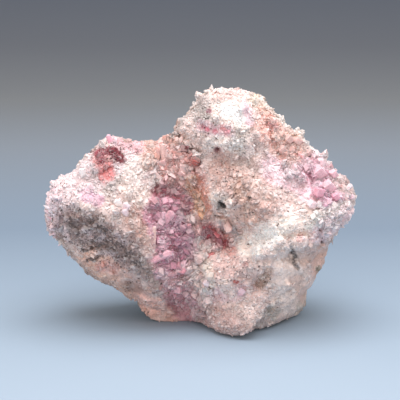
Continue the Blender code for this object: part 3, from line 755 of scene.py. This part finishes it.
class Crystals:
    """Collects crystals as corners, faces and colours, and joins them in one mesh."""

    def __init__(self):
        self.corners, self.faces, self.colours, self.total = [], [], [], 0

    def add_mesh(self, corners, faces, colours):
        self.faces += [[number + self.total for number in face] for face in faces]
        self.corners.append(corners)
        self.colours.append(colours)
        self.total += len(corners)

    def add(self, habit, roots, axes, spins, widths, thicknesses, heights, root_colours, tip_colours):
        """Crystals of one habit. Each row of the arrays is one crystal; sizes are in metres."""
        shape, faces = HABITS[habit]
        x, y, share, drop = np.array(shape).T
        first, second = side_directions(axes, spins)
        radii = np.minimum(widths, thicknesses)
        along = share[None] * heights[:, None] - drop[None] * radii[:, None]
        corners = (
            roots[:, None]
            + first[:, None] * (x[None] * widths[:, None])[..., None]
            + second[:, None] * (y[None] * thicknesses[:, None])[..., None]
            + axes[:, None] * along[..., None]
        )
        reach = np.clip(along / heights[:, None], 0.0, 1.0)[..., None]
        colours = root_colours[:, None] * (1.0 - reach) + tip_colours[:, None] * reach
        numbers = self.total + np.arange(len(roots))[:, None] * len(shape)
        for face in faces:
            self.faces += (numbers + np.array(face)).tolist()
        self.corners.append(corners.reshape(-1, 3))
        self.colours.append(colours.reshape(-1, 3))
        self.total += len(roots) * len(shape)

    def grow(self, surface, druse, weight, chooser):
        """Covers a surface with a druse, thickly where weight is high, with small crystals on the sides."""
        roots, normals = scattered(surface, druse.count, weight, chooser)
        axes = leaned(normals, druse.lean, chooser)
        sizes = chooser.random(druse.count) ** druse.size_bias
        # height goes with radius, but only by half
        radii = druse.radius[0] + (druse.radius[1] - druse.radius[0]) * sizes
        spread = chooser.random(druse.count) * 0.5 + sizes * 0.5
        heights = druse.height[0] + (druse.height[1] - druse.height[0]) * spread
        facing = normals @ np.array(CAMERA_AWAY)
        scale = 0.3 + 0.7 * smoothstep(0.05, 0.6, facing)
        radii, heights = radii * scale, heights * scale
        dark = chooser.random(druse.count) < strongest(roots, SPECKS) * druse.specks
        radii = np.where(dark, radii * DARK_GRAIN_SIZE, radii)
        blades = chooser.random(druse.count) < druse.blade
        widths = radii * np.where(blades, BLADE_WIDTH, 1.0)
        thicknesses = radii * np.where(blades, BLADE_THICKNESS, 1.0)
        # each crystal is somewhat paler, darker or richer in colour than the stone under it
        tints = colours_with_painted_shading(roots, normals)
        tints += (1.0 - tints) * (druse.lighten * chooser.random(druse.count) ** 1.5)[:, None]
        tints *= chooser.normal(1.0, 0.05, druse.count)[:, None]
        greys = tints.mean(axis=1)[:, None]
        tints = greys + (tints - greys) * chooser.uniform(0.7, 1.12, (druse.count, 1))
        oxide = np.array(linear(UMBER)) * (0.2 + 1.0 * chooser.random((druse.count, 1)))
        tints = np.where(dark[:, None], oxide, tints)
        tints = np.clip(tints, 0.01, 0.98)
        # painted shade: colours are deeper and darker towards the root, and crystals grow in random turns and
        # habits
        shaded = tints**druse.root_shade_power
        roots = roots - axes * (heights * druse.sunk * MM)[:, None]
        spins = chooser.random(druse.count) * math.tau
        habits = chooser.choice(len(druse.habits), druse.count)
        for number, habit in enumerate(druse.habits):
            own = habits == number
            self.add(
                habit, roots[own], axes[own], spins[own], widths[own] * MM, thicknesses[own] * MM,
                heights[own] * MM, shaded[own], tints[own],
            )

    def show(self, crystal, trees):
        """Adds one crystal, rooted where the front view's line of sight meets the stone."""
        root = seen_point(crystal.root, trees)
        if root is None:
            return
        pixels_per_metre = PIXELS_AT_A_METRE / (CAMERA_PLACE - root).length
        across = (crystal.tip[0] - crystal.root[0]) / pixels_per_metre
        up = (crystal.root[1] - crystal.tip[1]) / pixels_per_metre
        flat = Vector((across, 0.0, 0.0)) + CAMERA_UP * up
        axis = flat + CAMERA_AWAY * flat.length * math.tan(math.radians(crystal.lift))
        colour = np.array([linear(crystal.colour)])
        axes = np.array([axis.normalized()])
        first, second = side_directions(axes, np.zeros(1))
        broadside = np.array(axis.cross(CAMERA_AWAY).normalized())
        spin = np.arctan2(second @ broadside, first @ broadside)
        half_width = np.array([crystal.width / 2 * MM])
        # the root's colour is darkened as painted shade
        self.add(
            crystal.habit, np.array([root - CAMERA_AWAY * ROOT_DEPTH * MM]), axes, spin,
            half_width, half_width * crystal.thickness, np.array([axis.length]),
            colour**SHOWN_ROOT_SHADE, colour,
        )

    def finish(self, name, material):
        corners = np.concatenate(self.corners)
        corners[:, 2] = np.maximum(corners[:, 2], 0.0)  # none of them reaches into the floor
        mesh = bpy.data.meshes.new(name)
        mesh.from_pydata(corners.tolist(), [], self.faces)
        made = linked(name, mesh)
        give_colours(made, np.concatenate(self.colours))
        mesh.materials.append(material)
        return made


def add_node(tree, kind, inputs=None, **settings):
    """Adds a node. Its inputs are given as values or as the sockets that feed them."""
    node = tree.nodes.new("ShaderNode" + kind)
    for name, value in settings.items():
        setattr(node, name, value)
    for name, value in (inputs or {}).items():
        if isinstance(value, bpy.types.NodeSocket):
            tree.links.new(value, node.inputs[name])
        else:
            node.inputs[name].default_value = value
    return node


def new_material(name):
    """An empty material: its node tree, and the Principled shader that its surface takes."""
    material = bpy.data.materials.new(name)
    material.use_nodes = True
    tree = material.node_tree
    return material, tree, tree.nodes["Principled BSDF"]


def per_metre(millimetres):
    """A texture's scale for a pattern of this size."""
    return 1000.0 / millimetres


GLOW = 0.9  # how far in mm light spreads inside the calcite


def calcite_material(name, cloudiness, clearness, roughness):
    """Calcite crystal: glassy rhombic faces over a cloudy body, with cleavage lines and small flaws.

    To the eye the faces glint, edges glow where light comes through, and the depth of the colour varies.
    """
    material, tree, shader = new_material(name)
    place = add_node(tree, "NewGeometry").outputs["Position"]
    tint = add_node(tree, "Attribute", attribute_name="tint").outputs["Color"]
    # growth clouds are about 0.9 mm across
    clouds = add_node(tree, "TexNoise", {"Vector": place, "Scale": per_metre(0.9), "Detail": 3.0})
    depth = add_node(tree, "MapRange", {
        "Value": clouds.outputs["Fac"], "From Min": 0.3, "From Max": 0.7, "To Min": 0.88, "To Max": 1.1,
    })
    colour = add_node(
        tree, "Mix", {"Factor": 1.0, "A": tint, "B": depth.outputs["Result"]},
        data_type="RGBA", blend_type="MULTIPLY",
    )
    # flaws and cleavage steps are finer than 0.1 mm, and are drawn at 0.3 mm so that they show
    flaws = add_node(tree, "TexNoise", {"Vector": place, "Scale": per_metre(0.3), "Detail": 2.0})
    polish = add_node(tree, "MapRange", {
        "Value": flaws.outputs["Fac"], "From Min": 0.35, "From Max": 0.7,
        "To Min": roughness, "To Max": roughness + 0.25,
    })
    bump = add_node(tree, "Bump", {
        "Height": flaws.outputs["Fac"], "Strength": 0.15, "Distance": 0.08 * MM,
    })
    tree.links.new(colour.outputs["Result"], shader.inputs["Base Color"])
    tree.links.new(polish.outputs["Result"], shader.inputs["Roughness"])
    tree.links.new(bump.outputs["Normal"], shader.inputs["Normal"])
    shader.inputs["IOR"].default_value = 1.6
    shader.inputs["Subsurface Weight"].default_value = cloudiness
    shader.inputs["Subsurface Radius"].default_value = (1.0, 0.85, 0.82)
    shader.inputs["Subsurface Scale"].default_value = GLOW * MM
    shader.inputs["Transmission Weight"].default_value = clearness
    return material


def host_rock_material():
    """Weathered dolomite, freshly broken: dull sandy grains, with dark specks of manganese oxide."""
    material, tree, shader = new_material("weathered_dolomite")
    place = add_node(tree, "NewGeometry").outputs["Position"]
    tint = add_node(tree, "Attribute", attribute_name="tint").outputs["Color"]
    speck_share = add_node(tree, "Attribute", attribute_name="specks").outputs["Color"]
    # sand grains are 0.3 to 0.8 mm across
    grains = add_node(tree, "TexVoronoi", {"Vector": place, "Scale": per_metre(0.8)})
    sand = add_node(tree, "TexNoise", {
        "Vector": place, "Scale": per_metre(0.7), "Detail": 4.0, "Roughness": 0.7,
    })
    shade = add_node(tree, "MapRange", {
        "Value": sand.outputs["Fac"], "From Min": 0.3, "From Max": 0.7, "To Min": 0.76, "To Max": 1.16,
    })
    sandy = add_node(
        tree, "Mix", {"Factor": 1.0, "A": tint, "B": shade.outputs["Result"]},
        data_type="RGBA", blend_type="MULTIPLY",
    )
    # specks of oxide gather in knots about 0.6 mm across
    knots = add_node(tree, "TexNoise", {
        "Vector": place, "Scale": per_metre(0.6), "Detail": 4.0, "Roughness": 0.7,
    })
    reach = add_node(
        tree, "Math", {0: speck_share, 1: 0.16, 2: knots.outputs["Fac"]}, operation="MULTIPLY_ADD"
    )
    dark = add_node(tree, "MapRange", {
        "Value": reach.outputs["Value"], "From Min": 0.64, "From Max": 0.78, "To Max": 0.8,
    })
    colour = add_node(
        tree, "Mix", {"Factor": dark.outputs["Result"], "A": sandy.outputs["Result"],
                      "B": (*linear(OXIDE), 1.0)}, data_type="RGBA",
    )
    height = add_node(
        tree, "Math", {0: grains.outputs["Distance"], 1: -0.6, 2: sand.outputs["Fac"]},
        operation="MULTIPLY_ADD",
    )
    bump = add_node(tree, "Bump", {
        "Height": height.outputs["Value"], "Strength": 0.7, "Distance": 0.35 * MM,
    })
    polish = add_node(tree, "MapRange", {
        "Value": sand.outputs["Fac"], "From Min": 0.3, "From Max": 0.7, "To Min": 0.6, "To Max": 0.95,
    })
    tree.links.new(colour.outputs["Result"], shader.inputs["Base Color"])
    tree.links.new(polish.outputs["Result"], shader.inputs["Roughness"])
    tree.links.new(bump.outputs["Normal"], shader.inputs["Normal"])
    shader.inputs["IOR"].default_value = 1.55
    shader.inputs["Subsurface Weight"].default_value = 0.3
    shader.inputs["Subsurface Radius"].default_value = (1.0, 0.85, 0.8)
    shader.inputs["Subsurface Scale"].default_value = 0.8 * MM
    return material


def facets_at(points, size):
    """Relief of broken rock: flat facets of this size in mm, each with its own tilt, from about -1 to 1."""
    relief = np.empty(len(points))
    for number, point in enumerate((points / (size * MM)).tolist()):
        centre = noise.voronoi(point)[1][0]
        tilt = noise.cell_vector(centre * 37.0) - Vector((0.5, 0.5, 0.5))
        relief[number] = 4.0 * (Vector(point) - centre) @ tilt
    return relief


def foot_rounded(corners):
    """Corners with the left end of the foot rounded off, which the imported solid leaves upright."""
    middle = np.array([-12.0, 6.5]) * MM  # of an ellipse seen from the front
    radii = np.array([7.0, 6.5]) * MM
    out = (corners[:, [0, 2]] - middle) / radii
    length = np.linalg.norm(out, axis=1)
    beyond = (out < 0.0).all(axis=1) & (length > 1.0)
    corners[np.ix_(beyond, [0, 2])] = middle + out[beyond] / length[beyond, None] * radii
    return corners


def tuck_in(rock, height, depth):
    """Draws the lowest edge in towards the middle of the foot, so that it throws a dark contact shadow."""
    corners = mesh_arrays(rock)[0]
    inward = corners[corners[:, 2] < 0.1 * MM, :2].mean(axis=0) - corners[:, :2]
    distance = np.linalg.norm(inward, axis=1)
    low = np.clip(1.0 - corners[:, 2] / (height * MM), 0.0, 1.0)
    move = np.minimum(depth * MM * (1.0 - np.sqrt(1.0 - low**2)), 0.5 * distance)
    corners[:, :2] += inward * (move / np.maximum(distance, 0.1 * MM))[:, None]
    set_corners(rock, corners)


SET_BACK = 0.35  # in mm, so that the grain doesn't make the stone bigger


def rock_relief(corners):
    """How far in mm the rock stands out at each corner: steps, sandy grain, facets, pits and cracks."""
    # broken steps on the open front, sandy grain all over, and facets where the rock is bare
    steps = np.abs(noise_at(corners, 5.0, 11.0))
    grain = 0.45 * noise_at(corners, 2.2, 5.0) + 0.3 * noise_at(corners, 1.1, 9.0)
    grain += 0.16 * noise_at(corners, 0.6, 2.0)
    bare = np.maximum(strongest(corners, BARE), 1.0 - frontness(corners))
    heights = 0.9 * (0.5 - steps) * (1.0 - 0.7 * bare) + grain * (1.0 - 0.25 * bare)
    facets = 0.65 * facets_at(corners, 8.0) + 0.35 * facets_at(corners, 3.6)
    heights += bare * np.clip(facets, -1.1, 0.5)
    heights -= depth_at(corners, HOLLOWS) * frontness(corners)
    return heights - SET_BACK


ROCK_VOXEL = 0.52  # in mm; a finer one takes the rock over 200,000 triangles
LEAST_SPECKS = 0.15  # dark grains lie this thickly all over


def make_rock():
    rock = remeshed("matrix_rock", "host_rock", ROCK_VOXEL, 0.6)
    set_corners(rock, nudged(foot_rounded(mesh_arrays(rock)[0])))
    displace(rock, rock_relief(mesh_arrays(rock)[0]))
    tuck_in(rock, height=3.0, depth=2.2)
    corners = mesh_arrays(rock)[0]
    give_colours(rock, colours_with_painted_shading(corners, vertex_normals(rock)))
    specks = np.maximum(strongest(corners, SPECKS), LEAST_SPECKS)
    give_colours(rock, np.repeat(specks[:, None], 3, axis=1), "specks")
    rock.data.materials.append(host_rock_material())
    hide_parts("matrix_rock")
    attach(rock, "root")
    return rock


# How thickly crystals still grow on the stone's back and on bare rock, as shares of the open front
LEAST_BEHIND = 0.07
LEAST_ON_BARE = 0.03


def make_druses(rock, rock_tree, chooser):
    """The sugary white to pale pink calcite over the rock's front, thinning out round its sides."""
    surface = mesh_arrays(rock)

    def thickness(points, normals):
        open_share = np.clip(1.0 - strongest(points, BARE), 0.0, 1.0)
        facing = smoothstep(-0.3, 0.35, normals @ np.array(CAMERA_AWAY))
        return (LEAST_BEHIND + frontness(points) * facing) * (LEAST_ON_BARE + open_share)

    material = calcite_material("cloudy_white_calcite", 0.6, 0.05, 0.28)
    druses = {
        "sugar_druse": Druse(
            12800, (0.24, 0.5), (0.45, 1.0), ("rhomb", "stub", "rhomb", "rhomb"), 60.0, 0.15, specks=0.42
        ),
        "coarse_druse": Druse(3300, (0.4, 1.05), (0.7, 1.7), ("stub", "rhomb", "tooth"), 65.0),
    }
    for name, druse in druses.items():
        crystals = Crystals()
        crystals.grow(surface, druse, thickness, chooser)
        for row in SHOWN.get(name, []):
            crystals.show(Shown(*row), [rock_tree])
        piece = crystals.finish(name, material)
        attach(piece, "root")


LEFT_PROUD = 0.15  # share of its extra height that a crust keeps


def flattened(corners, tree, thickness):
    """Corners of a crust, with what stands further out of the rock than its thickness pressed down."""
    pressed = corners.copy()
    for number, corner in enumerate(corners.tolist()):
        foot, outward = tree.find_nearest(corner)[:2]
        away = Vector(corner) - foot
        allowed = thickness[number]
        if away.length > allowed and away.dot(outward) > 0.0:
            pressed[number] = foot + away.normalized() * (allowed + LEFT_PROUD * (away.length - allowed))
    return pressed


CRUST_VOXEL = 0.5  # in mm
PASTE_SHADE = 1.12  # power that darkens the colour between a crust's crystals, as painted shade in the gaps
CRUST_CLEARNESS = 0.1


def make_crust(node, name, druses, material, rock_tree, chooser):
    """A crust of pink calcite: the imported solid's form in a rough crystal paste, covered with crystals."""
    body = remeshed(node, name + "_body", CRUST_VOXEL, 0.5)
    corners = mesh_arrays(body)[0]
    thickness = np.maximum(CRUST_THICKNESS - depth_at(corners, THIN_CRUST), 0.1)
    corners = flattened(corners, rock_tree, thickness * MM)
    set_corners(body, corners)
    displace(body, 0.4 * noise_at(corners, 1.5, 6.0) + 0.25 * noise_at(corners, 0.8, 8.0))
    surface = mesh_arrays(body)
    faces = [list(face.vertices) for face in body.data.polygons]
    crystals = Crystals()
    # the paste between the crystals is darkened as painted shade
    crystals.add_mesh(surface[0], faces, colours_with_painted_shading(surface[0], vertex_normals(body)) ** PASTE_SHADE)

    def outside(points, normals):
        return smoothstep(0.3, -0.1, normals[:, 1])

    for druse in druses:
        crystals.grow(surface, druse, outside, chooser)
    trees = [sight_tree(body), rock_tree]
    for row in SHOWN.get(name, []):
        crystals.show(Shown(*row), trees)
    bpy.data.objects.remove(body)
    crust = crystals.finish(name, material)
    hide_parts(node)
    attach(crust, "root")
    return crust


def make_crusts(rock_tree, chooser):
    """The four crusts: node, name, slot, material, how cloudy and how rough it is, and druses."""
    fine_habits, coarse_habits = ("stub", "rhomb", "prism"), ("stub", "rhomb")
    crusts = [
        ("rose_crystal_crust", "rose_crystals", "rose_calcite", "rose_cobaltoan_calcite", 0.7, 0.22, [
            Druse(
                2200, (0.45, 1.1), (0.7, 1.6), ("rhomb", "stub", "rhomb"), 52.0, sunk=0.68, root_shade_power=1.2
            ),
            Druse(560, (0.8, 1.8), (1.4, 3.0), ("rhomb", "stub", "prism"), 60.0, 0.4, sunk=0.65),
        ]),
        ("lilac_crystal_crust", "lilac_crystals", "lilac_calcite", "lilac_cobaltoan_calcite", 0.7, 0.22, [
            Druse(1300, (0.35, 0.8), (0.6, 1.3), fine_habits, 60.0, sunk=0.6, root_shade_power=1.25),
            Druse(220, (0.9, 1.9), (1.3, 2.4), coarse_habits, 50.0, blade=0.15, sunk=0.6, root_shade_power=1.25),
        ]),
        ("peach_crystal_crust", "peach_crystals", "peach_calcite", "peach_calcite", 0.7, 0.24, [
            Druse(1200, (0.35, 0.8), (0.6, 1.3), fine_habits, 60.0, sunk=0.55, root_shade_power=1.3),
            Druse(180, (0.8, 1.7), (1.1, 2.2), coarse_habits, 50.0, blade=0.15, sunk=0.55, root_shade_power=1.3),
        ]),
        ("red_crystal_cluster", "red_crystals", "red_calcite", "red_cobaltoan_calcite", 0.5, 0.22, [
            Druse(
                620, (0.2, 0.5), (0.5, 1.3), ("prism", "tooth", "rhomb"), 60.0,
                blade=0.3, sunk=0.45, specks=0.25,
            ),
        ]),
    ]
    for node, name, slot, material_name, cloudiness, roughness, druses in crusts:
        material = calcite_material(material_name, cloudiness, CRUST_CLEARNESS, roughness)
        make_crust(node, name, druses, material, rock_tree, chooser)


def make_sweep():
    """The paper sweep that the stone stands on: a flat floor that curves up into a wall."""
    half_width, front, bend_start, bend_radius, wall_top = 1.6, -0.7, 0.55, 0.5, 1.6  # in metres
    steps = 24
    profile = [(front, 0.0), (bend_start, 0.0)]
    for step in range(1, steps + 1):
        angle = math.pi / 2 * step / steps
        profile.append((bend_start + bend_radius * math.sin(angle), bend_radius * (1.0 - math.cos(angle))))
    profile.append((bend_start + bend_radius, wall_top))
    corners = [(side * half_width, y, z) for y, z in profile for side in (-1, 1)]
    faces = [[2 * i, 2 * i + 1, 2 * i + 3, 2 * i + 2] for i in range(len(profile) - 1)]
    mesh = bpy.data.meshes.new("paper_sweep")
    mesh.from_pydata(corners, [], faces)
    mesh.shade_smooth()
    sweep = linked("paper_sweep", mesh)
    mesh.materials.append(sweep_material())


def sweep_material():
    """Matt background paper, coloured from pale blue near the stone to darker grey further back and up."""
    material, tree, shader = new_material("graded_paper")
    place = add_node(tree, "NewGeometry").outputs["Position"]
    parts = add_node(tree, "SeparateXYZ", {"Vector": place})
    distance = add_node(tree, "Math", {0: parts.outputs["Y"], 1: parts.outputs["Z"]}, operation="ADD")
    share = add_node(tree, "MapRange", {
        "Value": distance.outputs["Value"], "From Min": -0.2, "From Max": 1.4,
    })
    ramp = add_node(tree, "ValToRGB", {"Fac": share.outputs["Result"]})
    stops = [
        (0.0, "#A2B6C6"), (0.11, "#90A4B4"), (0.2, "#74889A"), (0.33, "#7E8C98"),
        (0.48, "#7C868C"), (0.6, "#646E78"), (0.7, "#586472"),
    ]
    elements = ramp.color_ramp.elements
    for number, (position, colour) in enumerate(stops):
        element = elements[number] if number < 2 else elements.new(position)
        element.position = position
        element.color = (*linear(colour), 1.0)
    tree.links.new(ramp.outputs["Color"], shader.inputs["Base Color"])
    shader.inputs["Roughness"].default_value = 0.9
    return material


def add_softbox(name, place, size, power, colour):
    """A square softbox that faces the stone."""
    light = bpy.data.lights.new(name, "AREA")
    light.shape = "SQUARE"
    light.size = size
    light.energy = power
    light.color = linear(colour)
    box = linked(name, light)
    box.location = place
    box.rotation_mode = "QUATERNION"
    box.rotation_quaternion = (CAMERA_TARGET - Vector(place)).to_track_quat("-Z", "Y")


def light_stage():
    """Soft light from above and a little to the right, a weak fill from the front left, and a lit room."""
    add_softbox("top_softbox", (0.05, -0.08, 0.55), 0.52, 3.5, "#F6F7FF")
    add_softbox("front_fill", (-0.15, -0.65, 0.16), 0.40, 1.4, "#FFF8F2")
    world = bpy.data.worlds.new("studio")
    bpy.context.scene.world = world
    world.use_nodes = True
    tree = world.node_tree
    background = tree.nodes["Background"]
    background.inputs["Color"].default_value = (*linear("#FFEDE4"), 1.0)
    direction = add_node(tree, "TexCoord").outputs["Generated"]
    height = add_node(tree, "SeparateXYZ", {"Vector": direction}).outputs["Z"]
    strength = add_node(tree, "MapRange", {
        "Value": height, "From Min": 0.0, "From Max": 0.9, "To Min": 0.35, "To Max": 1.5,
    })
    tree.links.new(strength.outputs["Result"], background.inputs["Strength"])
    bpy.context.scene.view_settings.view_transform = "Standard"


def add_camera():
    camera = linked("photo_camera", bpy.data.cameras.new("photo_camera"))
    camera.data.lens = CAMERA_LENS
    camera.data.sensor_width = CAMERA_SENSOR
    camera.location = CAMERA_PLACE
    camera.rotation_mode = "QUATERNION"
    camera.rotation_quaternion = (-CAMERA_AWAY).to_track_quat("-Z", "Y")
    bpy.context.scene.camera = camera


def main():
    chooser = np.random.default_rng(RANDOM_SEED)
    add_camera()
    make_sweep()
    light_stage()
    rock = make_rock()
    rock_tree = sight_tree(rock)
    make_druses(rock, rock_tree, chooser)
    make_crusts(rock_tree, chooser)


main()
